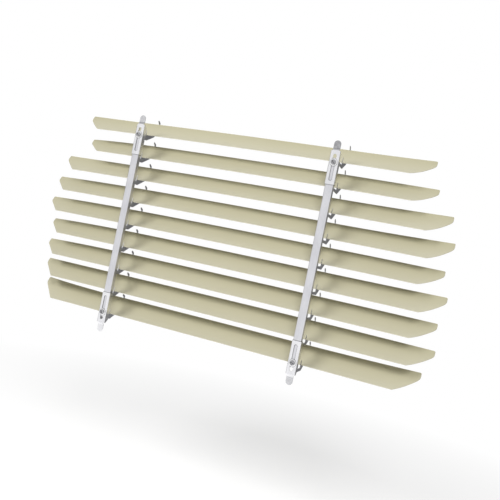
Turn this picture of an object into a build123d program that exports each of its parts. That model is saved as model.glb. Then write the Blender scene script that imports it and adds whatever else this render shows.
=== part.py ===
from build123d import *
import math
import os

# Rear window louver: crowned slats held by two uprights with adjustable end hooks.
# Millimetres. X runs along the slats, Y from the uprights back to the slats, Z up.
# The origin lies midway between the four screws, on the uprights' front face.

# Slats, from the top one down: lengths of the back edge between its sharp corners,
# and how far each slat sits to the right of the louver's middle
slat_lengths = (632, 634, 708, 729, 730, 728, 722, 720, 698)
slat_side_shifts = (-2.1, 8.1, -0.8, -1.9, -8.4, 3.2, -0.1, 5.3, 3.4)
slat_pitch = 40.0
slat_lift = 1.1
slat_setback = 31.9
slat_depth = 34.2
slat_rise = 27.6
slat_sheet = 0.8
slat_crown = 4.5
slat_bend_radius = 10000.0
slat_bend_lean = 15.0

# The ends of a slat: square to the back edge at first, then mitred towards the front edge
slat_mitre = 36.5
slat_square_end = 10.0
slat_end_radius = 15.0
slat_tip_radius = 2.0
slat_front_corner_radius = 1.0

# Uprights: channels folded from sheet
upright_spacing = 341.0
upright_width = 12.8
upright_depth = 8.0
upright_sheet = 0.9
upright_fold_radius = 1.3
web_end_cut = 7.5

# Saddle arms, one for each slat, cut in one piece with the uprights' outer flanges
saddle_clearance = 0.25
arm_lip_height = 8.0
arm_lip_lean = 0.6
arm_lip_tip = 0.8
arm_lip_root = 3.0
arm_neck_drop = 4.6
arm_neck_height = 4.0
arm_heel_drop = 9.6
arm_heel_setback = 3.0
arm_belly_setback = 8.2
arm_belly_drop = 25.6
arm_back_margin = 4.4
arm_back_drop = 5.6
arm_claw_rise = 7.0
arm_claw_reach = 6.6
arm_claw_width = 2.8
arm_end_margin = 0.5
arm_bend_radius = 2.4

# End hooks: sheet caps that slide on the uprights, with a tongue for the window seal
hook_sheet = 1.0
hook_fold_radius = 1.3
hook_side_clearance = 0.15
hook_flange_overlap = 0.4
hook_travel_in = 10.4
hook_travel_out = 25.5
hook_inner_margin = 5.5
hook_shoulder = 0.5
hook_flange_cut = 6.1
hook_flange_chamfer = 5.5
tongue_side_clearance = 0.15
tongue_step = 2.4
tongue_length = 12.2
joggle_length = 3.5
joggle_bend_radius = 0.5
web_end_clearance = 1.1

# Clamp screws, washers and nuts
screw_end_distance = 14.5
screw_diameter = 5.0
screw_tail = 2.6
screw_tip_chamfer = 0.5
screw_head_diameter = 8.0
screw_head_height = 2.6
screw_head_chamfer = 0.6
washer_diameter = 11.0
washer_sheet = 0.8
washer_chamfer = 0.25
nut_across_flats = 8.0
nut_height = 2.7
screw_hole_clearance = 0.1
slot_clearance = 0.1
washer_clearance = 0.15
thread_clearance = 0.04

# Sizes that follow from the driving ones
slat_count = len(slat_lengths)
row_heights = [slat_lift + slat_pitch * ((slat_count - 1) / 2 - row) for row in range(slat_count)]
upright_x = upright_spacing / 2
flange_gap = upright_width - 2 * upright_sheet
arm_inner_x = flange_gap / 2
arm_x = upright_x + arm_inner_x + upright_sheet / 2
upright_end = arm_neck_drop + arm_neck_height + arm_end_margin - row_heights[-1]
web_end = upright_end - web_end_cut
screw_z = upright_end - screw_end_distance
hook_width = upright_width + 2 * (hook_side_clearance + hook_sheet)
hook_depth = hook_sheet + upright_depth + hook_flange_overlap
slot_width = screw_diameter + 2 * slot_clearance
slot_outer_end = hook_travel_in + screw_diameter / 2
slot_inner_end = hook_travel_out + screw_diameter / 2
hook_inner_reach = slot_inner_end + hook_inner_margin
joggle_start = web_end - screw_z + hook_travel_in + web_end_clearance
joggle_end = joggle_start + joggle_length
hook_shoulder_reach = joggle_start - hook_shoulder
hook_tip_reach = joggle_end + tongue_length
tongue_width = flange_gap - 2 * tongue_side_clearance
screw_length = washer_sheet + hook_sheet + upright_sheet + nut_height + screw_tail

# Working lengths of blanks and cutters, which only have to reach past the metal
edge_overcut = 0.2
slat_blank_allowance = 60.0
cutter_reach = 70.0


def soften(face, corners):
    """Round the corners of a flat outline, each given as a place and a radius."""
    for place, radius in corners:
        point = Vector(*place)
        nearest = min(face.vertices(), key=lambda v: (Vector(v.X, v.Y) - point).length)
        face = fillet(nearest, radius)
    return face


# A slat is a crowned strip in one long bend, which takes its ends back and a little down.

def bend(x):
    """Where the middle of the slat's length has moved to at a distance x along it."""
    sag = slat_bend_radius - math.sqrt(slat_bend_radius**2 - x**2)
    lean = math.radians(slat_bend_lean)
    return Vector(x, sag * math.cos(lean), -sag * math.sin(lean))


def crown_arc():
    """Centre and radius of the visible face, with its front and back points, in Y and Z."""
    front = Vector(0, 0)
    back = Vector(slat_depth, slat_rise)
    chord = back - front
    toward_centre = Vector(-chord.Y, chord.X).normalized()
    radius = (chord.length**2 / 4 + slat_crown**2) / (2 * slat_crown)
    centre = (front + back) / 2 + toward_centre * (radius - slat_crown)
    return centre, radius, front, back


def arc_point(centre, radius, angle):
    return centre + Vector(math.cos(angle), math.sin(angle)) * radius


def angle_of(centre, point):
    return math.atan2(point.Y - centre.Y, point.X - centre.X)


def slat_section():
    """The section at the middle of the slat's length: two arcs about one centre."""
    centre, radius, front, back = crown_arc()
    start = angle_of(centre, front)
    end = angle_of(centre, back)
    middle = (start + end) / 2
    outer = radius + slat_sheet

    def place(point):
        return Vector(0, slat_setback + point.X, point.Y)

    inner_points = [place(arc_point(centre, radius, a)) for a in (start, middle, end)]
    outer_points = [place(arc_point(centre, outer, a)) for a in (end, middle, start)]
    edges = [
        ThreePointArc(*inner_points),
        Line(inner_points[2], outer_points[0]),
        ThreePointArc(*outer_points),
        Line(outer_points[2], inner_points[0]),
    ]
    return make_face(edges)


def slat_blank(length):
    """A strip longer than the slat, made by swinging its section round the centre of its bend."""
    lean = math.radians(slat_bend_lean)
    toward_centre = Vector(0, math.cos(lean), -math.sin(lean))
    bend_centre = Vector(0, slat_setback, 0) + toward_centre * slat_bend_radius
    bend_axis = Axis(bend_centre, (0, math.sin(lean), math.cos(lean)))
    half_turn = math.degrees(math.asin(length / 2 / slat_bend_radius))
    start = slat_section().rotate(bend_axis, -half_turn)
    return revolve(start, bend_axis, revolution_arc=2 * half_turn)


def end_cutter(length, shift, side):
    """The block that cuts one end of a slat to its outline, with its bend and its two corners."""
    back_x = side * length / 2 + shift
    front_x = back_x - side * slat_mitre

    def front_edge(x):
        return Vector(0, slat_setback, 0) + bend(x)

    def back_edge(x):
        return front_edge(x) + Vector(0, slat_depth, slat_rise)

    outward = Vector(side, 0, 0)
    chord = Vector(0, slat_depth, slat_rise)
    flat = Plane(origin=front_edge(front_x), x_dir=outward, z_dir=outward.cross(chord))
    in_flat = flat.to_local_coords
    past_front = Vector(0, -edge_overcut)
    past_back = Vector(0, edge_overcut)
    front_corner = in_flat(front_edge(front_x)) + past_front
    front_stop = in_flat(front_edge(front_x - side * 2 * slat_front_corner_radius)) + past_front
    back_corner = in_flat(back_edge(back_x)) + past_back
    back_stop = in_flat(back_edge(back_x - side * 2 * slat_tip_radius)) + past_back
    square_end = back_corner - Vector(0, slat_square_end)
    beyond = back_corner.X + cutter_reach
    low = front_corner.Y - cutter_reach
    high = back_corner.Y + cutter_reach
    points = [
        (front_stop.X, low), (front_stop.X, front_stop.Y), (front_corner.X, front_corner.Y),
        (square_end.X, square_end.Y), (back_corner.X, back_corner.Y),
        (back_stop.X, back_stop.Y), (back_stop.X, high), (beyond, high), (beyond, low),
    ]
    face = soften(make_face(Polyline(*points, close=True)), (
        (points[2], slat_front_corner_radius), (points[3], slat_end_radius),
        (points[4], slat_tip_radius),
    ))
    return extrude(flat * face, amount=cutter_reach / 2, both=True)


def make_slat(row):
    length = slat_lengths[row]
    shift = slat_side_shifts[row]
    slat = slat_blank(length + slat_blank_allowance)
    for side in (-1, 1):
        slat -= end_cutter(length, shift, side)
    at_arm = bend(arm_x)
    return Pos(0, -at_arm.Y, row_heights[row] - at_arm.Z) * slat


# The upright: a folded channel whose outer flange carries the saddle arms.

def channel_profile(width, depth, sheet, fold_radius):
    """A U section in X and Y with its web at Y = 0 and its flanges towards +Y."""
    outline = Rectangle(width, depth, align=(Align.CENTER, Align.MIN))
    outline = fillet(outline.vertices().sort_by(Axis.Y)[:2], fold_radius)
    hollow = Pos(0, sheet) * Rectangle(width - 2 * sheet, depth, align=(Align.CENTER, Align.MIN))
    hollow = fillet(hollow.vertices().sort_by(Axis.Y)[:2], fold_radius - sheet)
    return outline - hollow


def saddle_arm_outline():
    """The side view of one arm, in Y and Z, from the slat's front edge at the arm."""
    centre, radius, front, back = crown_arc()
    seat_radius = radius + slat_sheet + saddle_clearance
    start = angle_of(centre, front)
    end = angle_of(centre, back)
    seat_start = arc_point(centre, seat_radius, start)
    seat_middle = arc_point(centre, seat_radius, (start + end) / 2)
    seat_end = arc_point(centre, seat_radius, end)

    flange_edge = upright_depth - slat_setback
    neck_root = flange_edge - upright_depth / 4
    neck_top = -arm_neck_drop
    neck_bottom = neck_top - arm_neck_height
    lip_back = front.X - saddle_clearance
    lip_foot = (lip_back, seat_start.Y - saddle_clearance)
    lip_tip_back = (lip_back - arm_lip_lean, arm_lip_height)
    lip_tip_front = (lip_tip_back[0] - arm_lip_tip, arm_lip_height - arm_lip_tip)
    lip_front = (lip_back - arm_lip_root, neck_top)
    heel = (front.X + arm_heel_setback, -arm_heel_drop)
    belly = (back.X - arm_belly_setback, back.Y - arm_belly_drop)
    behind = (back.X + arm_back_margin, back.Y - arm_back_drop)
    claw_knee = (back.X + arm_back_margin, back.Y + arm_claw_rise / 2)
    claw_tip = (claw_knee[0] - arm_claw_reach, back.Y + arm_claw_rise)
    claw_tip_inner = (claw_tip[0] - arm_claw_width / 2, claw_tip[1] - arm_claw_width * 0.8)
    claw_seat = (seat_end.X - saddle_clearance / 2, seat_end.Y + arm_claw_width / 2)
    face = make_face([
        Polyline(
            (seat_start.X, seat_start.Y), lip_foot, lip_tip_back, lip_tip_front, lip_front,
            (neck_root, neck_top), (neck_root, neck_bottom), heel, belly, behind, claw_knee,
            claw_tip, claw_tip_inner, claw_seat, (seat_end.X, seat_end.Y),
        ),
        ThreePointArc(seat_end, seat_middle, seat_start),
    ])
    return soften(face, (
        (lip_tip_back, arm_lip_tip / 2), (lip_tip_front, arm_lip_tip / 2),
        (lip_front, arm_bend_radius), (heel, 2 * arm_bend_radius), (belly, 3 * arm_bend_radius),
        (behind, 3 * arm_bend_radius), (claw_knee, arm_bend_radius),
        (claw_tip, arm_claw_width / 3), (claw_tip_inner, arm_claw_width / 4),
    ))


def saddle_arm(height):
    """One arm of the right-hand upright, in the plane of its outer flange."""
    section = Plane(origin=(arm_inner_x, slat_setback, height), x_dir=(0, 1, 0), z_dir=(1, 0, 0))
    return extrude(section * saddle_arm_outline(), amount=upright_sheet)


def make_right_upright():
    profile = channel_profile(upright_width, upright_depth, upright_sheet, upright_fold_radius)
    upright = extrude(Plane.XY.offset(-upright_end) * profile, amount=2 * upright_end)
    from_end = (Align.CENTER, Align.CENTER, Align.MIN)
    web_cut = Box(flange_gap, 2 * upright_fold_radius, web_end_cut, align=from_end)
    hole = Rot(90, 0, 0) * Cylinder(screw_diameter / 2 + screw_hole_clearance, 4 * upright_sheet)
    upright -= Pos(0, 0, web_end) * web_cut
    upright -= Pos(0, 0, -upright_end) * web_cut
    for side in (-1, 1):
        upright -= Pos(0, 0, side * screw_z) * hole
    for height in row_heights:
        upright += saddle_arm(height)
    return Pos(upright_x, 0, 0) * upright


# The end hook, drawn for the top end with its screw at the origin.

def joggled_tongue():
    """The stepped strip beyond the cap: its side view, then its rounded end seen from the front."""
    outer = -hook_sheet
    turn = hook_sheet * math.tan(math.atan2(tongue_step, joggle_length) / 2)
    root = joggle_start - joggle_length
    outer_side = (
        (outer, root), (outer, joggle_start + turn),
        (outer + tongue_step, joggle_end + turn), (outer + tongue_step, hook_tip_reach),
    )
    inner_side = (
        (tongue_step, hook_tip_reach), (tongue_step, joggle_end), (0, joggle_start), (0, root),
    )
    inner_bend = joggle_bend_radius
    outer_bend = joggle_bend_radius + hook_sheet
    face = soften(make_face(Polyline(*outer_side, *inner_side, close=True)), (
        (outer_side[1], outer_bend), (outer_side[2], inner_bend),
        (inner_side[1], outer_bend), (inner_side[2], inner_bend),
    ))
    side_view = Plane(origin=(-tongue_width / 2, 0, 0), x_dir=(0, 1, 0), z_dir=(1, 0, 0))
    strip = extrude(side_view * face, amount=tongue_width)
    rounded_end = SlotOverall(2 * hook_tip_reach, tongue_width, rotation=90)
    return strip & extrude(Plane.XZ * rounded_end, amount=2 * tongue_step, both=True)


def hook_cap():
    """The folded cap that rides on the upright, with its flanges cut back at the outer end."""
    profile = channel_profile(hook_width, hook_depth, hook_sheet, hook_fold_radius)
    start = Plane.XY.offset(-hook_inner_reach)
    cap = extrude(start * (Pos(0, -hook_sheet) * profile), amount=hook_inner_reach + hook_shoulder_reach)
    back = hook_depth - hook_sheet
    flange_cut = Polyline(
        (back - hook_flange_cut, hook_shoulder_reach), (back, hook_shoulder_reach),
        (back, hook_shoulder_reach - hook_flange_chamfer), close=True,
    )
    side_view = Plane(origin=(-hook_width, 0, 0), x_dir=(0, 1, 0), z_dir=(1, 0, 0))
    return cap - extrude(side_view * make_face(flange_cut), amount=2 * hook_width)


def adjusting_slot():
    middle = (slot_outer_end - slot_inner_end) / 2
    outline = SlotOverall(slot_outer_end + slot_inner_end, slot_width, rotation=90)
    return Pos(0, 0, middle) * extrude(Plane.XZ * outline, amount=2 * hook_sheet, both=True)


def make_hook():
    return hook_cap() + joggled_tongue() - adjusting_slot()


# Fasteners, drawn along +Y through the hook and the web of the upright.

def disc(diameter, start, thickness):
    """A round blank along Y from a starting depth."""
    blank = Cylinder(diameter / 2, thickness, align=(Align.CENTER, Align.CENTER, Align.MIN))
    return Pos(0, start + thickness, 0) * Rot(90, 0, 0) * blank


def rims(shape):
    """The round edges of a fastener, from its front face to its back."""
    return shape.edges().filter_by(GeomType.CIRCLE).sort_by(Axis.Y)


def make_washer():
    front = -hook_sheet - washer_sheet
    blank = disc(washer_diameter, front, washer_sheet)
    blank = chamfer(rims(blank)[0], washer_chamfer)
    return blank - disc(screw_diameter + 2 * washer_clearance, front, washer_sheet)


def make_screw():
    seat = -hook_sheet - washer_sheet
    head = disc(screw_head_diameter, seat - screw_head_height, screw_head_height)
    head = chamfer(rims(head)[0], screw_head_chamfer)
    shank = disc(screw_diameter, seat, screw_length)
    return head + chamfer(rims(shank)[-1], screw_tip_chamfer)


def make_nut():
    hexagon = RegularPolygon(nut_across_flats / 2, 6, major_radius=False)
    behind_web = Plane(origin=(0, upright_sheet, 0), x_dir=(0, 0, 1), z_dir=(0, 1, 0))
    nut = extrude(behind_web * hexagon, amount=nut_height)
    return nut - disc(screw_diameter + 2 * thread_clearance, upright_sheet, nut_height)


# Put the louver together

def build_louver():
    parts = {}
    for row in range(slat_count):
        parts[f"slat_{row + 1}"] = make_slat(row)
    right_upright = make_right_upright()
    parts["right_upright"] = right_upright
    parts["left_upright"] = mirror(right_upright, about=Plane.YZ)
    top_hook = make_hook()
    bottom_hook = mirror(top_hook, about=Plane.XY)
    fasteners = {"screw": make_screw(), "washer": make_washer(), "nut": make_nut()}
    for side_name, x in (("left", -upright_x), ("right", upright_x)):
        for end_name, z, hook in (("top", screw_z, top_hook), ("bottom", -screw_z, bottom_hook)):
            place = Pos(x, 0, z)
            corner = f"{side_name}_{end_name}"
            parts[f"{corner}_hook"] = place * hook
            for fastener_name, fastener in fasteners.items():
                parts[f"{corner}_{fastener_name}"] = place * fastener
    return parts


os.makedirs("parts", exist_ok=True)
for node, shape in build_louver().items():
    export_step(shape, f"parts/{node}.step")
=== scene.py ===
# %% [markdown]
# # A rear window louver
# This louver shades the rear window of a classic saloon. Nine painted slats sit in two folded
# steel uprights, and each upright carries a sliding hook at both ends. The hooks tuck behind the
# rubber seal of the window, so the louver holds without a hole in the car. The solids come from
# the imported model. This script rebuilds them with finer surfaces and gives them their finish.

import math

import bmesh
import bpy
from mathutils import Matrix, Vector


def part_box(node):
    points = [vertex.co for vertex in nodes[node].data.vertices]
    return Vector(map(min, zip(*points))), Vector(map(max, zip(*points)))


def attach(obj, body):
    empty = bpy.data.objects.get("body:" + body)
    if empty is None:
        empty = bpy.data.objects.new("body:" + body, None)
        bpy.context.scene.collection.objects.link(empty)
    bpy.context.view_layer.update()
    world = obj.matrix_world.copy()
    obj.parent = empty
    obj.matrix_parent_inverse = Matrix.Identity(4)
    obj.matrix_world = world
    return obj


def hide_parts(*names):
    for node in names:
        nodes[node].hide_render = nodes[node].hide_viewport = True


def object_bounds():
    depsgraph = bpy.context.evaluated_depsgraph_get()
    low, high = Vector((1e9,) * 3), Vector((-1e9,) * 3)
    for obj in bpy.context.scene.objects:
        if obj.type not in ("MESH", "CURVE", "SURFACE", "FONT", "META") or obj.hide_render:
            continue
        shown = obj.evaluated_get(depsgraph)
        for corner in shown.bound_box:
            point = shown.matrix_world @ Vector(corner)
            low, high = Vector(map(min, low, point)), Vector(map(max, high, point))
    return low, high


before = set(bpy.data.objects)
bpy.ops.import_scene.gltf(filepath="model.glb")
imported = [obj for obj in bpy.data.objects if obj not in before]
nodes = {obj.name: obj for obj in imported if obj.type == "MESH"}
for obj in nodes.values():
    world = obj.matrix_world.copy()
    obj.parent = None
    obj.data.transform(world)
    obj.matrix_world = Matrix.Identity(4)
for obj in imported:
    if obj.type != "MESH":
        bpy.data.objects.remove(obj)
cad_low, cad_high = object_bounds()
millimetre = 0.001
print("solids:", len(nodes), "size:", [round(v, 4) for v in Vector(cad_high) - Vector(cad_low)])

# %% [markdown]
# ## The camera
# The photograph looks at the louver from its right, at half its height, with the camera rolled a
# little, so that the uprights lean. The louver itself stays upright here, and the camera gets
# that lean: a turn about the upright axis and a roll about the line of sight. The lens is a
# moderate telephoto.

# %% Camera
camera_place = Vector((375.0, -852.0, -0.5)) * millimetre
camera_turn = math.radians(19.83)
camera_roll = math.radians(-11.60)
camera_lens = 41.76
sensor_width = 36.0

scene = bpy.context.scene
camera_data = bpy.data.cameras.new("studio_camera")
camera_data.lens = camera_lens
camera_data.sensor_width = sensor_width
camera_data.clip_start = 0.05
camera_data.clip_end = 50.0
camera = bpy.data.objects.new("studio_camera", camera_data)
camera.location = camera_place
camera.rotation_euler = (math.radians(90.0), camera_roll, camera_turn)
scene.collection.objects.link(camera)
scene.camera = camera
print("camera at", [round(v, 3) for v in camera.location])

# %% [markdown]
# ## Small helpers for node trees
# Materials and Geometry Nodes are both node trees. A tree written out node by node soon grows
# too long to read, so these helpers stand for the steps that come again and again: one adds a
# node, one fills a socket with a value or a link, and one adds a math node with its inputs.

# %% Node helpers


def add_node(tree, kind, **settings):
    """A new node with its own settings filled in."""
    node = tree.nodes.new(kind)
    for name, value in settings.items():
        setattr(node, name, value)
    return node


def feed(tree, socket, value):
    """Give a socket another node's output, or a plain value."""
    if isinstance(value, bpy.types.NodeSocket):
        tree.links.new(value, socket)
    else:
        socket.default_value = value


def calc(tree, operation, *values):
    """A math node with its inputs filled in. It returns the output socket."""
    node = add_node(tree, "ShaderNodeMath", operation=operation)
    for socket, value in zip(node.inputs, values):
        feed(tree, socket, value)
    return node.outputs[0]


def between(tree, value, low, high, from_low=0.0, from_high=1.0):
    """Turn a value in one range into a value in another."""
    spread = add_node(tree, "ShaderNodeMapRange")
    feed(tree, spread.inputs["Value"], value)
    feed(tree, spread.inputs["From Min"], from_low)
    feed(tree, spread.inputs["From Max"], from_high)
    feed(tree, spread.inputs["To Min"], low)
    feed(tree, spread.inputs["To Max"], high)
    return spread.outputs["Result"]


# %% [markdown]
# ## What the materials share
# Painted and plated sheet is never one flat colour. Four effects are shared by several pieces: a
# soft mottle from uneven paint or plating, a fine grain from rolling or turning, a worn line
# along the edges, and painted shade in recesses. They could be written again in every material.
# Here each is a shader node group with named inputs, built once and placed wherever it is wanted.

# %% Helpers for shader groups


def shader_group(name, inputs, outputs):
    """An empty group with named sockets. It returns the group and its two end nodes."""
    group = bpy.data.node_groups.new(name, "ShaderNodeTree")
    kinds = {"colour": "NodeSocketColor", "value": "NodeSocketFloat", "vector": "NodeSocketVector"}
    for socket_name, kind, default in inputs:
        socket = group.interface.new_socket(socket_name, in_out="INPUT", socket_type=kinds[kind])
        socket.default_value = default
    for socket_name, kind in outputs:
        group.interface.new_socket(socket_name, in_out="OUTPUT", socket_type=kinds[kind])
    return group, add_node(group, "NodeGroupInput"), add_node(group, "NodeGroupOutput")


def noise(tree, scale, stretch=(1, 1, 1), detail=3.0):
    """Noise in Object coordinates. Small values in stretch draw it out along that axis."""
    place = add_node(tree, "ShaderNodeTexCoord")
    stretched = add_node(tree, "ShaderNodeVectorMath", operation="MULTIPLY")
    tree.links.new(place.outputs["Object"], stretched.inputs[0])
    feed(tree, stretched.inputs[1], stretch)
    texture = add_node(tree, "ShaderNodeTexNoise")
    tree.links.new(stretched.outputs["Vector"], texture.inputs["Vector"])
    feed(tree, texture.inputs["Scale"], scale)
    texture.inputs["Detail"].default_value = detail
    return texture.outputs["Fac"]


def mix(tree, kind, factor, first, second):
    """Blend two values. A Mix node has sockets for every kind, and enables those of its own."""
    node = add_node(tree, "ShaderNodeMix", data_type=kind)
    for name, value in (("Factor", factor), ("A", first), ("B", second)):
        matching = [socket for socket in node.inputs if socket.name == name and socket.enabled]
        feed(tree, matching[0], value)
    return [socket for socket in node.outputs if socket.enabled][0]


def mix_colour(tree, factor, first, second):
    return mix(tree, "RGBA", factor, first, second)


def mix_number(tree, factor, first, second):
    return mix(tree, "FLOAT", factor, first, second)


# %% [markdown]
# ## Mottle
# Paint and plating settle unevenly, so their tone drifts in soft patches. One noise alone looks
# like clouds. A second, finer noise breaks up the outline of the patches, as dust and wear do.

# %% The mottle group
fine_mottle_scale = 7.0
broad_mottle_share = 0.7
fine_mottle_share = 0.3
mottle_contrast = (0.38, 0.62)


def make_mottle_group():
    """Two colours mixed by broad noise, with finer noise to break up its outline."""
    group, given, result = shader_group(
        "mottle",
        (("Base", "colour", (0.5, 0.5, 0.5, 1)), ("Other", "colour", (0.4, 0.4, 0.4, 1)),
         ("Scale", "value", 20.0), ("Stretch", "vector", (1, 1, 1)), ("Amount", "value", 0.5)),
        (("Colour", "colour"), ("Mask", "value")),
    )
    scale = given.outputs["Scale"]
    stretch = given.outputs["Stretch"]
    broad = calc(group, "MULTIPLY", noise(group, scale, stretch), broad_mottle_share)
    fine = noise(group, calc(group, "MULTIPLY", scale, fine_mottle_scale), stretch)
    blend = calc(group, "ADD", broad, calc(group, "MULTIPLY", fine, fine_mottle_share))
    patches = between(group, blend, 0.0, 1.0, *mottle_contrast)
    mask = calc(group, "MULTIPLY", patches, given.outputs["Amount"])
    colour = mix_colour(group, mask, given.outputs["Base"], given.outputs["Other"])
    group.links.new(colour, result.inputs["Colour"])
    group.links.new(mask, result.inputs["Mask"])
    return group


mottle_group = make_mottle_group()
print("group:", mottle_group.name)

# %% [markdown]
# ## Grain
# Rolled strip has faint lines along it, and a turned face has rings. Both are noise that is
# stretched a long way in one direction, so one group gives both, and each material says in
# which direction its metal was worked.

# %% The grain group
grain_detail = 4.0


def make_grain_group():
    """Fine lines along the direction in which the metal was rolled or turned."""
    group, given, result = shader_group(
        "metal_grain",
        (("Stretch", "vector", (1, 1, 1)), ("Scale", "value", 900.0)),
        (("Height", "value"),),
    )
    lines = noise(group, given.outputs["Scale"], given.outputs["Stretch"], detail=grain_detail)
    group.links.new(lines, result.inputs["Height"])
    return group


grain_group = make_grain_group()
print("group:", grain_group.name)

# %% [markdown]
# ## Edge wear
# Fingers, rubber and other parts rub the edges first. The Bevel node says how a surface would
# face if its edges were rounded. Where that differs from how it really faces, there is an edge.
# Noise then breaks the line, because wear is never even.

# %% The edge wear group
bevel_samples = 4
edge_contrast = (0.80, 0.99)
broken_contrast = (0.40, 0.60)


def make_edge_wear_group():
    """A mask along convex edges, broken up by noise. Size is how far the wear reaches in."""
    group, given, result = shader_group(
        "edge_wear",
        (("Size", "value", 0.0006), ("Scale", "value", 400.0), ("Amount", "value", 1.0)),
        (("Mask", "value"),),
    )
    rounded = add_node(group, "ShaderNodeBevel", samples=bevel_samples)
    feed(group, rounded.inputs["Radius"], given.outputs["Size"])
    flat = add_node(group, "ShaderNodeNewGeometry")
    alike = add_node(group, "ShaderNodeVectorMath", operation="DOT_PRODUCT")
    group.links.new(rounded.outputs["Normal"], alike.inputs[0])
    group.links.new(flat.outputs["Normal"], alike.inputs[1])
    edge = between(group, alike.outputs["Value"], 1.0, 0.0, *edge_contrast)
    broken = between(group, noise(group, given.outputs["Scale"]), 0.0, 1.0, *broken_contrast)
    mask = calc(group, "MULTIPLY", calc(group, "MULTIPLY", edge, broken), given.outputs["Amount"])
    group.links.new(mask, result.inputs["Mask"])
    return group


edge_wear_group = make_edge_wear_group()
print("group:", edge_wear_group.name)

# %% [markdown]
# ## Painted shade in recesses
# The colour is painted darker in slots, in driver slots and around washers: painted shade,
# where nearby surfaces close a point in. The Ambient Occlusion node measures how closely they
# do, and that gives the mask.

# %% The painted recess shade group
occlusion_samples = 8
closed_in_contrast = (0.50, 0.97)


def make_recess_shade_group():
    """A mask of painted shade in slots and corners, where nearby surfaces close it in. Reach is how
    near.
    """
    group, given, result = shader_group(
        "recess_grime",
        (("Reach", "value", 0.002), ("Amount", "value", 1.0)),
        (("Mask", "value"),),
    )
    closeness = add_node(group, "ShaderNodeAmbientOcclusion", samples=occlusion_samples)
    feed(group, closeness.inputs["Distance"], given.outputs["Reach"])
    closed_in = between(group, closeness.outputs["AO"], 1.0, 0.0, *closed_in_contrast)
    mask = calc(group, "MULTIPLY", closed_in, given.outputs["Amount"])
    group.links.new(mask, result.inputs["Mask"])
    return group


recess_shade_group = make_recess_shade_group()
print("group:", recess_shade_group.name)

# %% [markdown]
# ## Putting a material together
# The shader itself stays in the material, and the groups only feed it. These helpers start a
# material, place a group in it and add the bump that comes last.

# %% Material helpers


def new_material(name):
    """A material, its tree and its shader."""
    material = bpy.data.materials.new(name)
    material.use_nodes = True
    return material, material.node_tree, material.node_tree.nodes["Principled BSDF"]


def place_group(tree, group, **values):
    """Put a shared group into a material, with its own values."""
    node = add_node(tree, "ShaderNodeGroup", node_tree=group)
    for name, value in values.items():
        feed(tree, node.inputs[name], value)
    return node


def add_bump(tree, shader, height, strength, distance):
    bump = add_node(tree, "ShaderNodeBump")
    bump.inputs["Strength"].default_value = strength
    bump.inputs["Distance"].default_value = distance
    feed(tree, bump.inputs["Height"], height)
    feed(tree, shader.inputs["Normal"], bump.outputs["Normal"])


# %% [markdown]
# ## Thin paint along the edges
# Wet paint draws back from a sheared edge, so the edges of a slat are a little paler. The slat
# mesh carries a number of its own, across, from 0 at the front edge to 1 at the back edge. A
# mask that is made from it follows the slat wherever it bends, which a mask made from a place in
# the room would not. Noise nibbles at the inner border of the pale band.

# %% The edge mask
along_the_slat = (0.3, 1, 1)
edge_band = 0.985
nibble_scale = 150.0
nibble_depth = 0.012
thin_paint_amount = 0.55
chipped_edge = 0.5 * millimetre


def thin_paint_mask(tree, across):
    """A narrow band at both long edges, with an uneven inner border, and the worn edges."""
    centred = calc(tree, "SUBTRACT", calc(tree, "MULTIPLY", across, 2.0), 1.0)
    nibble = calc(tree, "MULTIPLY", noise(tree, nibble_scale, along_the_slat), nibble_depth)
    nibbled = calc(tree, "ADD", calc(tree, "ABSOLUTE", centred), nibble)
    band = between(tree, nibbled, 0.0, 1.0, edge_band, 1.0)
    thin = calc(tree, "MULTIPLY", band, thin_paint_amount)
    wear = place_group(tree, edge_wear_group, Size=chipped_edge, Scale=300.0, Amount=0.5)
    return calc(tree, "MAXIMUM", thin, wear.outputs["Mask"])


# %% [markdown]
# ## The slats' enamel
# The slats are painted a warm stone colour. Sprayed enamel has a satin sheen and a very fine
# orange peel. The colour is painted lighter towards the front edge of each slat and darker
# towards its back edge, under the slat above: painted light and painted shade. One picture
# wrapped round the slat could hold all this, but noise and the number across stay sharp from
# near and need no picture.

# %% Enamel
# Painted light and shade: the slat's colour at its lit front edge, and darker at its back edge.
lit_front_paint_colour = (0.645, 0.617, 0.480, 1)
shaded_back_paint_colour = (0.455, 0.428, 0.285, 1)
patch_colour = (0.530, 0.502, 0.355, 1)
thin_paint_colour = (0.700, 0.675, 0.550, 1)
sheen_scale = 30.0
sheen_stretch = (0.25, 1, 1)
sheen_contrast = (0.3, 0.7)
enamel_roughness = (0.36, 0.50)
orange_peel_scale = 700.0
orange_peel_strength = 0.03
orange_peel_height = 0.2 * millimetre


def make_enamel():
    material, tree, shader = new_material("stone_enamel")
    across = add_node(tree, "ShaderNodeAttribute", attribute_name="across").outputs["Fac"]
    # Painted light and shade: lighter at the front edge, darker towards the back edge.
    painted_light_and_shade = mix_colour(tree, across, lit_front_paint_colour, shaded_back_paint_colour)
    paint = place_group(tree, mottle_group, Base=painted_light_and_shade, Other=patch_colour, Scale=14.0,
                        Stretch=along_the_slat, Amount=0.30)
    pale = thin_paint_mask(tree, across)
    colour = mix_colour(tree, pale, paint.outputs["Colour"], thin_paint_colour)
    feed(tree, shader.inputs["Base Color"], colour)
    sheen = noise(tree, sheen_scale, sheen_stretch)
    roughness = between(tree, sheen, *enamel_roughness, *sheen_contrast)
    feed(tree, shader.inputs["Roughness"], roughness)
    orange_peel = noise(tree, orange_peel_scale, detail=1.0)
    add_bump(tree, shader, orange_peel, orange_peel_strength, orange_peel_height)
    return material


enamel = make_enamel()
print("enamel:", enamel.name)

# %% [markdown]
# ## Plated steel
# The uprights are folded from zinc plated strip: pale, slightly lilac, with a satin gloss and a
# faint grain along the strip. The hooks are pressed from brighter strip, the washers are
# brighter still, and the screws and nuts are turned and have gone dark. Four materials could be
# built by hand, but only their values differ, so one function makes them all.

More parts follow.
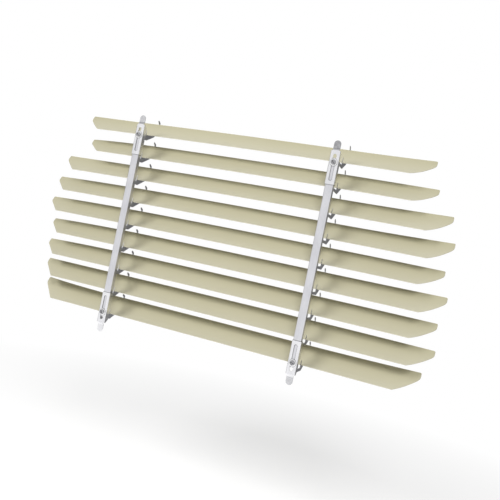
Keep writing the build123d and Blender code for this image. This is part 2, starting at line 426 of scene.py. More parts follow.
# %% A recipe for plated steel
patch_scale = 70.0
patch_stretch = (1, 1, 0.4)
patch_amount = 0.7
rubbed_edge = 0.4 * millimetre
# Painted shade in recesses: how near the closing surfaces reach, and the near black it paints.
shade_reach = 1.6 * millimetre
recess_shade_colour = (0.070, 0.069, 0.067, 1)
grain_share = 0.6
patch_share = 0.4
grain_height = 0.1 * millimetre


def make_steel(name, colours, wear, recess_shade_amount, roughness, grain, bump):
    """Colours are the plating, its darker patches and its worn edges."""
    plain, patches, worn = colours
    material, tree, shader = new_material(name)
    plating = place_group(tree, mottle_group, Base=plain, Other=patches, Scale=patch_scale,
                          Stretch=patch_stretch, Amount=patch_amount)
    edges = place_group(tree, edge_wear_group, Size=rubbed_edge, Scale=500.0, Amount=wear)
    colour = mix_colour(tree, edges.outputs["Mask"], plating.outputs["Colour"], worn)
    # Painted shade: recesses are darkened towards a near black.
    recesses = place_group(tree, recess_shade_group, Reach=shade_reach, Amount=recess_shade_amount)
    colour = mix_colour(tree, recesses.outputs["Mask"], colour, recess_shade_colour)
    feed(tree, shader.inputs["Base Color"], colour)
    shader.inputs["Metallic"].default_value = 1.0
    lines = place_group(tree, grain_group, Stretch=grain, Scale=1.0).outputs["Height"]
    uneven = calc(tree, "ADD", calc(tree, "MULTIPLY", lines, grain_share),
                  calc(tree, "MULTIPLY", plating.outputs["Mask"], patch_share))
    feed(tree, shader.inputs["Roughness"], between(tree, uneven, *roughness))
    add_bump(tree, shader, lines, bump, grain_height)
    return material


# %% [markdown]
# ## Four plated steels
# Strip, hooks, washers and turned parts differ in tone, in the wear of their edges, in the painted
# shade of their recesses and in the direction of their grain. So each one is a single call with
# those values.

# %% The four steels
strip_steel = make_steel(
    "plated_strip",
    colours=((0.715, 0.715, 0.745, 1), (0.610, 0.610, 0.645, 1), (0.840, 0.840, 0.850, 1)),
    wear=0.5, recess_shade_amount=0.9, roughness=(0.24, 0.38), grain=(1800, 1800, 40), bump=0.10)
hook_steel = make_steel(
    "pressed_hook_steel",
    colours=((0.860, 0.860, 0.880, 1), (0.720, 0.720, 0.745, 1), (0.900, 0.900, 0.905, 1)),
    wear=0.2, recess_shade_amount=1.0, roughness=(0.22, 0.34), grain=(1800, 1800, 60), bump=0.10)
washer_steel = make_steel(
    "bright_washer_steel",
    colours=((0.920, 0.920, 0.925, 1), (0.800, 0.800, 0.810, 1), (0.940, 0.940, 0.940, 1)),
    wear=0.3, recess_shade_amount=0.3, roughness=(0.20, 0.30), grain=(900, 60, 900), bump=0.15)
turned_steel = make_steel(
    "turned_steel",
    colours=((0.500, 0.500, 0.515, 1), (0.340, 0.340, 0.355, 1), (0.860, 0.860, 0.865, 1)),
    wear=0.8, recess_shade_amount=1.0, roughness=(0.20, 0.34), grain=(900, 60, 900), bump=0.20)
print("steel:", strip_steel.name, hook_steel.name, washer_steel.name, turned_steel.name)

# %% [markdown]
# ## Painted shade on the tongues
# The tongue of each hook sits behind the window's rubber seal. Its colour is painted darker,
# most at the top right corner and least at the bottom left one: painted shade. Four materials
# would repeat one another. Instead the hooks' one material asks for its place: the tongue lies
# further back than the hook's plate, and the signs of X and Z tell the corners apart.

# %% Painted tongue shade
# Painted shade on the tongues: the dark colour and how much of it each corner gets.
tongue_shade_colour = (0.260, 0.260, 0.270, 1)
tongue_front = 0.9 * millimetre
facing_forward = -0.6
tongue_shade_on_the_right = 0.42
tongue_shade_at_the_top = 0.34
tongue_shade_scale = 260.0
tongue_shade_range = (0.85, 1.15)
tongue_shade_contrast = (0.35, 0.60)


def corner_tongue_shade(tree, place):
    """How much painted shade this corner's tongue gets, a little uneven."""
    on_right = calc(tree, "GREATER_THAN", place["X"], 0.0)
    at_top = calc(tree, "GREATER_THAN", place["Z"], 0.0)
    corner_darkening = calc(tree, "ADD", calc(tree, "MULTIPLY", on_right, tongue_shade_on_the_right),
               calc(tree, "MULTIPLY", at_top, tongue_shade_at_the_top))
    uneven = between(tree, noise(tree, tongue_shade_scale), *tongue_shade_range, *tongue_shade_contrast)
    return calc(tree, "MULTIPLY", corner_darkening, uneven)


def paint_tongue_shade(material):
    """Paint shade on the faces that look forward from behind the hook's plate: those of the tongue.
    """
    tree = material.node_tree
    base = tree.nodes["Principled BSDF"].inputs["Base Color"]
    bright = base.links[0].from_socket
    coordinates = add_node(tree, "ShaderNodeTexCoord")
    place = add_node(tree, "ShaderNodeSeparateXYZ")
    tree.links.new(coordinates.outputs["Object"], place.inputs[0])
    facing = add_node(tree, "ShaderNodeSeparateXYZ")
    tree.links.new(coordinates.outputs["Normal"], facing.inputs[0])
    set_back = calc(tree, "GREATER_THAN", place.outputs["Y"], tongue_front)
    looks_forward = calc(tree, "LESS_THAN", facing.outputs["Y"], facing_forward)
    on_tongue = calc(tree, "MULTIPLY", set_back, looks_forward)
    # Painted shade: the tongue is darkened by the corner's amount.
    mask = calc(tree, "MULTIPLY", on_tongue, corner_tongue_shade(tree, place.outputs))
    feed(tree, base, mix_colour(tree, mask, bright, tongue_shade_colour))


paint_tongue_shade(hook_steel)
print("tongues_shaded:", hook_steel.name)

# %% [markdown]
# ## Trees for what repeats
# The louver repeats itself: nine slats, four screws, four washers, four nuts. A loop could make
# the copies, but Geometry Nodes keep the rule in one tree, with a named input for every size.
# These two helpers start such a tree and send geometry through one node after another.

# %% Helpers for geometry trees


def geometry_tree(name, inputs):
    """A tree with a mesh going in and out and a named input for each size or object."""
    tree = bpy.data.node_groups.new(name, "GeometryNodeTree")
    tree.interface.new_socket("Geometry", in_out="INPUT", socket_type="NodeSocketGeometry")
    for socket_name, socket_type in inputs:
        tree.interface.new_socket(socket_name, in_out="INPUT", socket_type=socket_type)
    tree.interface.new_socket("Geometry", in_out="OUTPUT", socket_type="NodeSocketGeometry")
    return tree, add_node(tree, "NodeGroupInput"), add_node(tree, "NodeGroupOutput")


def send_through(tree, kind, geometry, **values):
    """Send geometry through a node with these values. It returns what comes out."""
    node = add_node(tree, kind)
    feed(tree, node.inputs["Geometry"], geometry)
    for name, value in values.items():
        feed(tree, node.inputs[name], value)
    return node.outputs["Geometry"]


# %% [markdown]
# ## From points to a plain mesh
# A mesh of bare points says where the copies go, and each point may carry numbers of its own. A
# tree turns the points into pieces. The result is baked into one plain mesh, because other
# programs can't read a tree. The tree's inputs are set by the socket's identifier, because a
# modifier knows no other name.

# %% Points and baking


def points_mesh(name, places, **attributes):
    """Bare points, each with a few named numbers of its own."""
    mesh = bpy.data.meshes.new(name)
    mesh.from_pydata(places, [], [])
    for attribute_name, values in attributes.items():
        attribute = mesh.attributes.new(attribute_name, "FLOAT", "POINT")
        attribute.data.foreach_set("value", values)
    return mesh


def new_piece(name, mesh):
    piece = bpy.data.objects.new(name, mesh)
    scene.collection.objects.link(piece)
    return piece


def bake(piece):
    """Replace an object's mesh by the result of its modifiers, and remove the modifiers."""
    graph = bpy.context.evaluated_depsgraph_get()
    result = bpy.data.meshes.new_from_object(
        piece.evaluated_get(graph), preserve_all_data_layers=True, depsgraph=graph)
    piece.modifiers.clear()
    piece.data = result
    result.name = piece.name
    return piece


def grow(name, mesh, tree, values):
    """Run a tree on a mesh of points and bake what it makes."""
    piece = new_piece(name, mesh)
    modifier = piece.modifiers.new(tree.name, "NODES")
    modifier.node_group = tree
    for item in tree.interface.items_tree:
        if item.item_type == "SOCKET" and item.in_out == "INPUT" and item.name in values:
            modifier[item.identifier] = values[item.name]
    return bake(piece)


# %% [markdown]
# ## The slats
# A slat is a strip of thin sheet, crowned across its width and bent in one long curve along its
# length, with its ends square at the back edge and mitred towards the front. Such a shape is a
# rule, so one tree makes all nine: a flat grid is instanced on one point for each slat, and Set
# Position moves every vertex to the place that the rule gives. The points take their place and
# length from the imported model. Thin sheet also gets bent by hand over the years, so each free
# end has its own small droop, in millimetres here.

# %% Where the slats are
slat_names = [f"slat_{row + 1}" for row in range(9)]
slat_depth = 34.2 * millimetre
slat_rise = 27.6 * millimetre
left_droops = (-1.2, 2.9, -0.2, 1.6, 1.8, 3.0, 2.5, -0.5, -5.0)
right_droops = (-2.1, 0.3, -2.8, -3.6, 0.4, -1.5, 0.1, 0.8, -2.2)

slat_places = []
slat_lengths = []
for slat_name in slat_names:
    low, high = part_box(slat_name)
    slat_places.append(((low[0] + high[0]) / 2, low[1], high[2] - slat_rise))
    slat_lengths.append(high[0] - low[0])
slat_points = points_mesh(
    "slat_points", slat_places, length=slat_lengths,
    left_droop=[droop * millimetre for droop in left_droops],
    right_droop=[droop * millimetre for droop in right_droops])
print("slat lengths in mm:", [round(length / millimetre, 1) for length in slat_lengths])

# %% [markdown]
# ## The grid behind every slat
# Each vertex keeps two numbers: along, from -1 at the left end to 1 at the right one, and
# across, from 0 at the front edge to 1 at the back edge. A sine wave crowds the rows towards
# both edges, where the tight curves of the ends need them. All vertices then wait at the
# slat's point, because the rule places them once the copies are real.

# %% The grid
slat_columns = 121
slat_rows = 27
edge_crowding = 0.75


def named_number(tree, name):
    node = add_node(tree, "GeometryNodeInputNamedAttribute", data_type="FLOAT")
    node.inputs["Name"].default_value = name
    return node.outputs["Attribute"]


def store_number(tree, geometry, name, value):
    node = add_node(tree, "GeometryNodeStoreNamedAttribute", data_type="FLOAT", domain="POINT")
    feed(tree, node.inputs["Geometry"], geometry)
    node.inputs["Name"].default_value = name
    feed(tree, node.inputs["Value"], value)
    return node.outputs["Geometry"]


def split_position(tree):
    position = add_node(tree, "GeometryNodeInputPosition")
    parts = add_node(tree, "ShaderNodeSeparateXYZ")
    tree.links.new(position.outputs[0], parts.inputs[0])
    return parts.outputs


def slat_grid(tree):
    """A grid whose vertices know their place on the slat and all wait at its point."""
    grid = add_node(tree, "GeometryNodeMeshGrid")
    grid.inputs["Size X"].default_value = 1.0
    grid.inputs["Size Y"].default_value = 1.0
    grid.inputs["Vertices X"].default_value = slat_columns
    grid.inputs["Vertices Y"].default_value = slat_rows
    place = split_position(tree)
    share = calc(tree, "ADD", place["Y"], 0.5)
    wave = calc(tree, "SINE", calc(tree, "MULTIPLY", share, math.tau))
    across = calc(tree, "SUBTRACT", share, calc(tree, "MULTIPLY", wave, edge_crowding / math.tau))
    along = calc(tree, "MULTIPLY", place["X"], 2.0)
    geometry = store_number(tree, grid.outputs["Mesh"], "along", along)
    geometry = store_number(tree, geometry, "across", across)
    smooth = send_through(tree, "GeometryNodeSetShadeSmooth", geometry)
    middle = add_node(tree, "ShaderNodeCombineXYZ").outputs[0]
    return send_through(tree, "GeometryNodeSetPosition", smooth, Position=middle)


# %% [markdown]
# ## The crowned section
# Seen from its end, a slat is a shallow arc that leans back. The straight line between its
# edges, the chord, has the slat's depth and rise. From the chord and the crown comes the arc's
# radius, and an equal step in across is an equal step in angle, so no face is stretched.

# %% The section


def slat_section(tree, size, across):
    """The place on the crowned section: depth, height and distance along the chord."""
    depth = size["Depth"]
    rise = size["Rise"]
    crown = size["Crown"]
    sides = calc(tree, "ADD", calc(tree, "POWER", depth, 2), calc(tree, "POWER", rise, 2))
    chord = calc(tree, "SQRT", sides)
    half = calc(tree, "DIVIDE", chord, 2)
    squares = calc(tree, "ADD", calc(tree, "POWER", half, 2), calc(tree, "POWER", crown, 2))
    radius = calc(tree, "DIVIDE", squares, calc(tree, "MULTIPLY", crown, 2))
    half_turn = calc(tree, "ARCSINE", calc(tree, "DIVIDE", half, radius))
    centred = calc(tree, "SUBTRACT", calc(tree, "MULTIPLY", across, 2), 1)
    turn = calc(tree, "MULTIPLY", centred, half_turn)
    forward = calc(tree, "ADD", half, calc(tree, "MULTIPLY", radius, calc(tree, "SINE", turn)))
    flat_part = calc(tree, "SUBTRACT", radius, crown)
    height = calc(tree, "MULTIPLY", radius, calc(tree, "COSINE", turn))
    belly = calc(tree, "SUBTRACT", height, flat_part)
    per_depth = calc(tree, "DIVIDE", depth, chord)
    per_rise = calc(tree, "DIVIDE", rise, chord)
    y = calc(tree, "ADD", calc(tree, "MULTIPLY", forward, per_depth),
             calc(tree, "MULTIPLY", belly, per_rise))
    z = calc(tree, "SUBTRACT", calc(tree, "MULTIPLY", forward, per_rise),
             calc(tree, "MULTIPLY", belly, per_depth))
    return y, z, forward, chord


# %% [markdown]
# ## The mitred ends
# The end of a slat is square for a short way from the back edge, then slants in towards the
# front, and the tip at the back is rounded. The slant alone would be a straight line with a
# sharp bend. A smooth maximum of nothing and the slant gives the soft bend of the real one.

# %% The end line


def slat_inset(tree, size, forward, chord):
    """How much shorter each end is at a distance along the chord: mitre, bend and round tip."""
    square_start = calc(tree, "SUBTRACT", chord, size["Square End"])
    short_of_square = calc(tree, "SUBTRACT", 1, calc(tree, "DIVIDE", forward, square_start))
    mitre = calc(tree, "MULTIPLY", size["Mitre"], short_of_square)
    mitre = calc(tree, "SMOOTH_MAX", mitre, 0.0, size["End Rounding"])
    tip = size["Tip Radius"]
    tip_start = calc(tree, "SUBTRACT", chord, tip)
    past = calc(tree, "MAXIMUM", calc(tree, "SUBTRACT", forward, tip_start), 0.0)
    left_over = calc(tree, "SUBTRACT", calc(tree, "POWER", tip, 2), calc(tree, "POWER", past, 2))
    height = calc(tree, "SQRT", calc(tree, "MAXIMUM", left_over, 0.0))
    return calc(tree, "ADD", mitre, calc(tree, "SUBTRACT", tip, height))


# %% [markdown]
# ## The drooping ends
# The arms of the uprights hold a slat firmly, and beyond them its ends are free. A bend in thin
# sheet grows with the square of the distance from where it is held, and it shows most at the
# back edge, so the droop is multiplied by both.

# %% The droop


def slat_droop(tree, size, x, length, across):
    """How far a free end has been bent down: nothing at the arm, most at the tip's back edge."""
    arm = size["Arm Place"]
    from_arm = calc(tree, "SUBTRACT", calc(tree, "ABSOLUTE", x), arm)
    free_end = calc(tree, "SUBTRACT", calc(tree, "DIVIDE", length, 2), arm)
    share = calc(tree, "DIVIDE", calc(tree, "MAXIMUM", from_arm, 0.0), free_end)
    share = calc(tree, "POWER", share, 2)
    on_right = calc(tree, "GREATER_THAN", x, 0.0)
    left = named_number(tree, "left_droop")
    right = named_number(tree, "right_droop")
    difference = calc(tree, "SUBTRACT", right, left)
    droop = calc(tree, "ADD", left, calc(tree, "MULTIPLY", on_right, difference))
    return calc(tree, "MULTIPLY", calc(tree, "MULTIPLY", droop, share), across)


# %% [markdown]
# ## The place of every vertex
# The rule comes together here: the section, the end line, the droop, and the long bend of sheet
# that is held at two places and sags towards its ends, back and a little down. The sizes are
# inputs of the tree, so that any of them can be changed without touching a node.

# %% The whole rule
slat_sizes = {
    "Depth": slat_depth,
    "Rise": slat_rise,
    "Crown": 4.5 * millimetre,
    "Mitre": 36.5 * millimetre,
    "Square End": 10.0 * millimetre,
    "End Rounding": 6.0 * millimetre,
    "Tip Radius": 2.0 * millimetre,
    "Bend Radius": 10.0,
    "Bend Lean": math.radians(15.0),
    "Arm Place": 176.45 * millimetre,
}


def slat_place(tree, size):
    """Where the rule puts a vertex, from its numbers and its slat's point."""
    along = named_number(tree, "along")
    across = named_number(tree, "across")
    length = named_number(tree, "length")
    y, z, forward, chord = slat_section(tree, size, across)
    inset = slat_inset(tree, size, forward, chord)
    reach = calc(tree, "SUBTRACT", calc(tree, "DIVIDE", length, 2), inset)
    start = split_position(tree)
    x = calc(tree, "ADD", start["X"], calc(tree, "MULTIPLY", along, reach))
    double_radius = calc(tree, "MULTIPLY", size["Bend Radius"], 2)
    sag = calc(tree, "DIVIDE", calc(tree, "POWER", x, 2), double_radius)
    back = calc(tree, "MULTIPLY", sag, calc(tree, "COSINE", size["Bend Lean"]))
    down = calc(tree, "MULTIPLY", sag, calc(tree, "SINE", size["Bend Lean"]))
    down = calc(tree, "ADD", down, slat_droop(tree, size, x, length, across))
    place = add_node(tree, "ShaderNodeCombineXYZ")
    feed(tree, place.inputs["X"], x)
    feed(tree, place.inputs["Y"], calc(tree, "ADD", start["Y"], calc(tree, "ADD", y, back)))
    feed(tree, place.inputs["Z"], calc(tree, "ADD", start["Z"], calc(tree, "SUBTRACT", z, down)))
    return place.outputs[0]


print("sizes in the slat rule:", len(slat_sizes))

# %% [markdown]
# ## One tree for nine slats
# The tree instances the grid on the nine points, makes the copies real and moves every vertex to
# its place. They have to be real first, because all instances share one mesh, and here every
# slat has its own length and droop.

# %% The slat tree


def make_slat_tree():
    inputs = [(name, "NodeSocketFloat") for name in slat_sizes]
    tree, given, result = geometry_tree("slat_rule", inputs)
    copies = add_node(tree, "GeometryNodeInstanceOnPoints")
    feed(tree, copies.inputs["Points"], given.outputs["Geometry"])
    feed(tree, copies.inputs["Instance"], slat_grid(tree))
    real = send_through(tree, "GeometryNodeRealizeInstances", copies.outputs["Instances"])
    place = slat_place(tree, given.outputs)
    shaped = send_through(tree, "GeometryNodeSetPosition", real, Position=place)
    painted = send_through(tree, "GeometryNodeSetMaterial", shaped, Material=enamel)
    feed(tree, result.inputs["Geometry"], painted)
    return tree


slats = grow("painted_slats", slat_points, make_slat_tree(), slat_sizes)
print("slat faces before the sheet has a thickness:", len(slats.data.polygons))

# %% [markdown]
# ## Sheet thickness
# The tree makes the visible face only. Solidify gives the sheet its thickness on the far side,
# and a narrow Bevel takes the hard line off the sheared edges, so they catch the light.

# %% Give the slats their thickness
slat_sheet = 0.8 * millimetre
slat_edge_round = 0.2 * millimetre
sheared_angle = math.radians(50.0)

thicken = slats.modifiers.new("sheet", "SOLIDIFY")
thicken.thickness = slat_sheet
thicken.offset = -1.0
thicken.use_even_offset = True
soften_edges = slats.modifiers.new("sheared_edges", "BEVEL")
soften_edges.width = slat_edge_round
soften_edges.segments = 2
soften_edges.limit_method = "ANGLE"
soften_edges.angle_limit = sheared_angle
bake(slats)
slats.data.shade_smooth()
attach(slats, "louver")
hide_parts(*slat_names)
print("slat faces:", len(slats.data.polygons))

# %% [markdown]
# ## Uprights and hooks
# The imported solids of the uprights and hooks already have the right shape, but their edges are
# perfectly sharp, and folded sheet never is. A copy of each mesh is merged into one skin, its
# flat parts are joined into single faces, and a fine bevel rounds the edges. Weighted normals
# keep the flat faces flat.

# %% Round a folded piece
folded_edge_round = 0.15 * millimetre
folded_angle = math.radians(35.0)
same_place = 0.001 * millimetre
flat_angle = math.radians(0.4)


def merged_mesh(node_name):
    """The node's loose triangles as one skin, with flat parts joined."""
    skin = bmesh.new()
    skin.from_mesh(nodes[node_name].data)
    bmesh.ops.remove_doubles(skin, verts=skin.verts, dist=same_place)
    bmesh.ops.dissolve_limit(skin, angle_limit=flat_angle, verts=skin.verts, edges=skin.edges,
                             use_dissolve_boundaries=False)
    mesh = bpy.data.meshes.new(node_name)
    skin.to_mesh(mesh)
    skin.free()
    return mesh


def rounded_copy(node_name, piece_name, body, finish):
    """A copy of a folded node with fine round edges, in its finish and on its body."""
    piece = new_piece(piece_name, merged_mesh(node_name))
    piece.data.shade_smooth()
    rounding = piece.modifiers.new("folded_edges", "BEVEL")
    rounding.width = folded_edge_round
    rounding.segments = 2
    rounding.limit_method = "ANGLE"
    rounding.angle_limit = folded_angle
    piece.modifiers.new("flat_faces", "WEIGHTED_NORMAL").weight = 100
    bake(piece)
    piece.data.materials.clear()
    piece.data.materials.append(finish)
    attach(piece, body)
    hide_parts(node_name)
    return piece


# %% [markdown]
# ## Two uprights and four hooks
# The uprights belong to the louver's body, and each hook rides on a body of its own, because it
# slides. Its copy sits a hair's breadth in front of its upright, so that the two never touch.

# %% The folded pieces
sliding_gap = 0.02 * millimetre
corners = [f"{side}_{end}" for side in ("left", "right") for end in ("top", "bottom")]

folded = []
for side in ("left", "right"):
    folded.append(rounded_copy(f"{side}_upright", f"{side}_folded_upright", "louver", strip_steel))
for corner in corners:
    hook = rounded_copy(f"{corner}_hook", f"{corner}_sliding_hook", f"hook_{corner}", hook_steel)
    hook.data.transform(Matrix.Translation((0.0, -sliding_gap, 0.0)))
    folded.append(hook)
print("folded pieces:", {piece.name: len(piece.data.polygons) for piece in folded})

# %% [markdown]
# ## Turned parts
# Screws, washers and nuts are turned about an axis, so each is a stack of rings along it. A ring
# is a distance along the axis and a radius, which may change with the angle: that one idea gives
# the round head, the thread, whose radius follows a wave that climbs as it goes round, and the
# six sides of the nut.

# %% Rings into a mesh
ring_points = 48


def turned(name, rings, hollow=False):
    """Skin a stack of rings along Y. A hollow one joins its last ring to its first."""
    skin = bmesh.new()
    loops = []
    for y, radius in rings:
        loop = []
        for step in range(ring_points):
            angle = math.tau * step / ring_points
            reach = radius(angle, y) if callable(radius) else radius
            loop.append(skin.verts.new((reach * math.cos(angle), y, reach * math.sin(angle))))
        loops.append(loop)
    pairs = list(zip(loops, loops[1:]))
    if hollow:
        pairs.append((loops[-1], loops[0]))
    else:
        skin.faces.new(loops[0])
        skin.faces.new(loops[-1])
    for first, second in pairs:
        for step in range(ring_points):
            after = (step + 1) % ring_points
            skin.faces.new((first[step], first[after], second[after], second[step]))
    bmesh.ops.recalc_face_normals(skin, faces=skin.faces)
    mesh = bpy.data.meshes.new(name)
    skin.to_mesh(mesh)
    skin.free()
    return mesh


# %% [markdown]
# ## The screw
# The clamp screw has a round head with a dished middle, and its thread is seen only from behind.
# A thread is often made with a Screw modifier, which leaves a piece of its own. Here it is a
# wave in the radius, so that head, dish and thread are one stack of rings and one closed skin.

# %% The screw's rings
screw_radius = 2.5 * millimetre
screw_seat = -1.8 * millimetre
screw_end = 6.2 * millimetre
head_radius = 4.0 * millimetre
head_height = 2.6 * millimetre
head_round = 1.0 * millimetre
head_steps = 6
seat_round = 0.2 * millimetre
thread_pitch = 0.8 * millimetre
thread_depth = 0.42 * millimetre
thread_steps = 6
tip_chamfer = 0.5 * millimetre
dish_radius = 2.3 * millimetre
dish_depth = 0.7 * millimetre
dish_middle_radius = 0.4 * dish_radius
dish_slope = 0.3 * dish_depth
dish_rim = 0.1 * dish_depth


def thread_radius(angle, y):
    """A V thread: a wave along the axis that moves on by one pitch in each turn."""
    share = (y / thread_pitch - angle / math.tau) % 1.0
    depth = thread_depth * (1.0 - abs(2.0 * share - 1.0))
    tip = max(0.0, y - (screw_end - tip_chamfer))
    return min(screw_radius - depth, screw_radius - tip)


def head_rings():
    """From the floor of the dish over the crown and down to the seat."""
    crown = screw_seat - head_height
    dish_floor = crown + dish_depth
    rings = [(dish_floor, dish_middle_radius), (dish_floor, dish_radius - dish_slope)]
    rings += [(crown + dish_rim, dish_radius), (crown, dish_radius + dish_rim)]
    rings.append((crown, head_radius - head_round))
    for step in range(1, head_steps + 1):
        turn = math.pi / 2 * step / head_steps
        y = crown + head_round * (1 - math.cos(turn))
        rings.append((y, head_radius - head_round * (1 - math.sin(turn))))
    rings += [(screw_seat - seat_round, head_radius), (screw_seat, head_radius - seat_round)]
    return rings


def screw_rings():
    rings = head_rings()
    rings.append((screw_seat, screw_radius))
    length = screw_end - screw_seat
    count = round(length / thread_pitch * thread_steps)
    for step in range(1, count + 1):
        rings.append((screw_seat + length * step / count, thread_radius))
    return rings


print("rings in the screw:", len(screw_rings()))

# %% [markdown]
# ## The driver slot
# A flat blade turns the screw, the usual choice for something that is set by hand. No ring can
# give a straight slot, so a Boolean cuts a box out of the head, and the box is then deleted.

# %% Cut the driver slot
slot_width = 1.0 * millimetre
slot_depth = 1.3 * millimetre


def make_screw():
    screw = new_piece("slotted_screw", turned("slotted_screw", screw_rings()))
    cutter = new_piece("driver", bpy.data.meshes.new("driver"))
    box = bmesh.new()
    bmesh.ops.create_cube(box, size=1.0)
    bmesh.ops.scale(box, vec=(3 * head_radius, 2 * slot_depth, slot_width), verts=box.verts)
    bmesh.ops.translate(box, vec=(0, screw_seat - head_height, 0), verts=box.verts)
    box.to_mesh(cutter.data)
    box.free()
    cut = screw.modifiers.new("driver_slot", "BOOLEAN")
    cut.operation = "DIFFERENCE"
    cut.object = cutter
    bake(screw)
    bpy.data.objects.remove(cutter)
    return screw


screw = make_screw()
print("screw faces:", len(screw.data.polygons))

# %% [markdown]
# ## The washer
# A washer is stamped from sheet, so its rim is rounded on the side where the punch came in. It
# could be a cylinder with a hole cut in it, but eight rings give the rounding too. It is a hair
# thinner than the solid, so that the hook slides free below it.

# %% Shape the washer
washer_radius = 5.5 * millimetre
washer_hole_radius = 2.65 * millimetre
washer_sheet = 0.8 * millimetre
washer_round = 0.2 * millimetre


def make_washer():
    front = screw_seat
    back = screw_seat + washer_sheet - 2 * sliding_gap
    small = washer_round / 3
    rings = [
        (front, washer_hole_radius + small), (front, washer_radius - washer_round),
        (front + small, washer_radius - small), (front + washer_round, washer_radius),
        (back - small, washer_radius), (back, washer_radius - small),
        (back, washer_hole_radius), (front + small, washer_hole_radius),
    ]
    return new_piece("stamped_washer", turned("stamped_washer", rings, hollow=True))


washer = make_washer()
print("washer faces:", len(washer.data.polygons))

# %% [markdown]
# ## The nut
# A bought nut has its corners turned off at both faces. A bevel round a whole hexagon would also
# take the middle of each side, which a real nut keeps. So the end rings are hexagons that are
# cut to a circle, and the rings between them are plain hexagons.

# %% Shape the nut
nut_half_width = 4.0 * millimetre
nut_front = 0.9 * millimetre
nut_height = 2.7 * millimetre
nut_bore_radius = 2.54 * millimetre
nut_face_chamfer = 0.35 * millimetre
nut_chamfer_radius = 4.15 * millimetre
nut_side_turn = math.tau / 6


def nut_radius(angle, y):
    """The distance to a side of the hexagon."""
    nearest_side = (angle + nut_side_turn / 2) % nut_side_turn - nut_side_turn / 2
    return nut_half_width / math.cos(nearest_side)


def nut_face_radius(angle, y):
    """The same at the nut's two faces, where the corners are turned off."""
    return min(nut_radius(angle, y), nut_chamfer_radius)


def make_nut():
    back = nut_front + nut_height
    inside = nut_face_chamfer / 2
    rings = [
        (nut_front, nut_bore_radius + inside), (nut_front, nut_face_radius),
        (nut_front + nut_face_chamfer, nut_radius), (back - nut_face_chamfer, nut_radius),
        (back, nut_face_radius), (back, nut_bore_radius + inside),
        (back - inside, nut_bore_radius), (nut_front + inside, nut_bore_radius),
    ]
    return new_piece("hexagon_nut", turned("hexagon_nut", rings, hollow=True))


nut = make_nut()
print("nut faces:", len(nut.data.polygons))

# %% [markdown]
# ## Fasteners at the four corners
# Each kind of fastener sits at four places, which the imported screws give. One tree instances any
# of the three parts on those points and turns each copy by its own angle, because no two screws
# are ever tightened to the same stop.

# %% The fastener tree


def make_fastener_tree():
    tree, given, result = geometry_tree(
        "fasteners_at_corners", [("Fastener", "NodeSocketObject"), ("Finish", "NodeSocketMaterial")])
    part = add_node(tree, "GeometryNodeObjectInfo", transform_space="ORIGINAL")
    tree.links.new(given.outputs["Fastener"], part.inputs["Object"])
    part.inputs["As Instance"].default_value = True
    turn = add_node(tree, "ShaderNodeCombineXYZ")
    feed(tree, turn.inputs["Y"], named_number(tree, "turn"))
    copies = add_node(tree, "GeometryNodeInstanceOnPoints")
    feed(tree, copies.inputs["Points"], given.outputs["Geometry"])
    feed(tree, copies.inputs["Instance"], part.outputs["Geometry"])
    feed(tree, copies.inputs["Rotation"], turn.outputs[0])
    real = send_through(tree, "GeometryNodeRealizeInstances", copies.outputs["Instances"])
    finish = given.outputs["Finish"]
    finished = send_through(tree, "GeometryNodeSetMaterial", real, Material=finish)
    feed(tree, result.inputs["Geometry"], finished)
    return tree


# %% [markdown]
# ## The fasteners in place
# Each kind gets its points, its finish and four angles in degrees, and then stands for the four
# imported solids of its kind. The uprights carry them all, so none of them slides with a hook.

# %% Instance the fasteners
smooth_angle = math.radians(32.0)
fasteners = (
    ("screw", screw, turned_steel, (38.0, 52.0, 47.0, 15.0)),
    ("washer", washer, washer_steel, (0.0, 70.0, 140.0, 210.0)),
    ("nut", nut, turned_steel, (8.0, 31.0, 17.0, 44.0)),
)

corner_places = []
for corner in corners:
    low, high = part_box(f"{corner}_screw")
    corner_places.append(((low[0] + high[0]) / 2, 0.0, (low[2] + high[2]) / 2))
fastener_tree = make_fastener_tree()
for kind, part, finish, degrees in fasteners:
    points = points_mesh(f"{kind}_points", corner_places, turn=[math.radians(a) for a in degrees])
    piece = grow(f"clamp_{kind}s", points, fastener_tree, {"Fastener": part, "Finish": finish})
    bpy.data.objects.remove(part)
    piece.data.shade_smooth()
    piece.data.set_sharp_from_angle(angle=smooth_angle)
    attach(piece, "louver")
    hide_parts(*(f"{corner}_{kind}" for corner in corners))
    print(piece.name, len(piece.data.polygons), "faces")

# %% [markdown]
# ## What each ray sees
# Metal shows what is around it, and white all round would hide its shape. So the camera sees a
# white studio, and reflections see one that is white in front of the louver and dim behind it.
# Sheets of grey card could do that. The Light Path node does it without one more object: it
# says what kind of ray is asking, and the floor answers each kind in its own way.

# %% The floor's glow
floor_lift = 0.27
dim_level = 0.20
white_until = -1.0
dim_from = 0.5


def ray_mask(tree, *kinds):
    """One for the named kinds of ray and nothing for the others."""
    path = add_node(tree, "ShaderNodeLightPath")
    mask = path.outputs[kinds[0]]
    for kind in kinds[1:]:
        mask = calc(tree, "MAXIMUM", mask, path.outputs[kind])
    return mask


def floor_glow(tree, place, far_away):
    """A little light near the louver, and white, or what reflections see of it, far away."""
    parts = add_node(tree, "ShaderNodeSeparateXYZ")
    tree.links.new(place, parts.inputs[0])
    reflected = between(tree, parts.outputs["Y"], 1.0, dim_level, white_until, dim_from)
    far_level = mix_number(tree, ray_mask(tree, "Is Glossy Ray"), 1.0, reflected)
    glow = mix_number(tree, far_away, floor_lift, far_level)
    seen = ray_mask(tree, "Is Camera Ray", "Is Glossy Ray", "Is Transmission Ray")
    return calc(tree, "MULTIPLY", seen, glow)


# %% [markdown]
# ## The studio floor
# The photograph is a cut-out on white. A pale floor below the louver gives it a soft shadow to
# stand over, and further out the floor turns into plain white, so that no line shows where it
# ends. A curved backdrop would do the same, but it has to be turned with every new view.

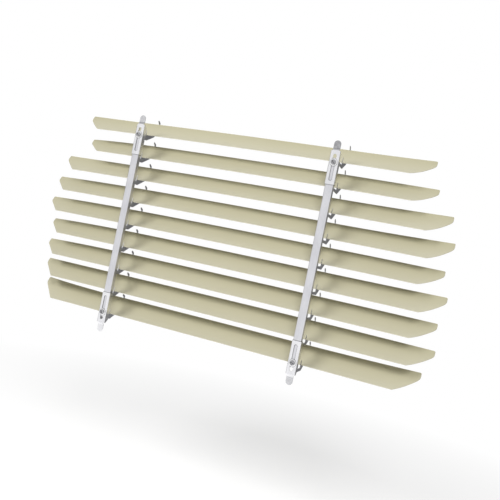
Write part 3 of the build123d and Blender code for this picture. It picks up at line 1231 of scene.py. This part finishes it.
# %% Floor
floor_drop = 0.34
floor_size = 60.0
floor_colour = (0.93, 0.93, 0.93, 1)
black = (0.0, 0.0, 0.0, 1)
white = (1.0, 1.0, 1.0, 1)
floor_near = 0.8
floor_far = 1.5


def make_floor_material():
    material, tree, shader = new_material("pale_floor")
    place = add_node(tree, "ShaderNodeTexCoord").outputs["Object"]
    distance = add_node(tree, "ShaderNodeVectorMath", operation="LENGTH")
    tree.links.new(place, distance.inputs[0])
    far_away = between(tree, distance.outputs["Value"], 0.0, 1.0, floor_near, floor_far)
    feed(tree, shader.inputs["Base Color"], mix_colour(tree, far_away, floor_colour, black))
    shader.inputs["Specular IOR Level"].default_value = 0.0
    shader.inputs["Emission Color"].default_value = white
    feed(tree, shader.inputs["Emission Strength"], floor_glow(tree, place, far_away))
    return material


bpy.ops.mesh.primitive_plane_add(size=floor_size, location=(0, 0, cad_low[2] - floor_drop))
floor = bpy.context.object
floor.name = "studio_floor"
floor.data.materials.append(make_floor_material())
print("floor at", round(floor.location.z, 3))

# %% [markdown]
# ## The world
# The camera sees a white world. The light that falls on the louver comes from the same world at
# a plain, lower level, or the pale slats would turn white. Reflections again see white in front
# and a dim level behind. A photographer of bright metal hangs up white and grey cloth for the
# same reason: it draws the sides of the uprights.

# %% World
world_level = 0.55
dim_behind = 0.15
white_in_front = 0.72

world = bpy.data.worlds.new("studio_world")
scene.world = world
world.use_nodes = True
sky = world.node_tree
background = sky.nodes["Background"]
background.inputs["Color"].default_value = white
direction = add_node(sky, "ShaderNodeTexCoord")
direction_parts = add_node(sky, "ShaderNodeSeparateXYZ")
sky.links.new(direction.outputs["Generated"], direction_parts.inputs[0])
in_front = calc(sky, "MULTIPLY", direction_parts.outputs["Y"], -1.0)
reflected_level = between(sky, in_front, dim_level, 1.0, -dim_behind, white_in_front)
seen_directly = ray_mask(sky, "Is Camera Ray", "Is Transmission Ray")
plain_or_white = between(sky, seen_directly, world_level, 1.0)
level = mix_number(sky, ray_mask(sky, "Is Glossy Ray"), plain_or_white, reflected_level)
feed(sky, background.inputs["Strength"], level)
print("world level:", world_level)

# %% [markdown]
# ## Lamps
# Two soft lamps stand in front, one to each side and a little above the louver. They give each
# upright a faint shadow on both sides, and leave a narrow dark band at the back of each slat,
# where the slat above hides them. A sheet of white below would lighten the lower slats, which is
# what the floor does here. Reflections see neither lamp: they show the white studio.

# %% Lamps
lamp_aim = Vector((0.0, 0.03, 0.0))
lamp_size = 0.55
lamp_power = 14.8
lamp_side = 0.66
lamp_front = -1.50
lamp_height = 0.90


def soft_lamp(name, place):
    """A square area lamp that looks at the louver."""
    data = bpy.data.lights.new(name, "AREA")
    data.size = lamp_size
    data.energy = lamp_power
    lamp = bpy.data.objects.new(name, data)
    lamp.location = place
    lamp.rotation_euler = (Vector(place) - lamp_aim).to_track_quat("Z", "Y").to_euler()
    lamp.visible_glossy = False
    scene.collection.objects.link(lamp)


soft_lamp("lamp_left", (-lamp_side, lamp_front, lamp_height))
soft_lamp("lamp_right", (lamp_side, lamp_front, lamp_height))
scene.view_settings.view_transform = "Standard"
print("lamps:", [light.name for light in bpy.data.lights])
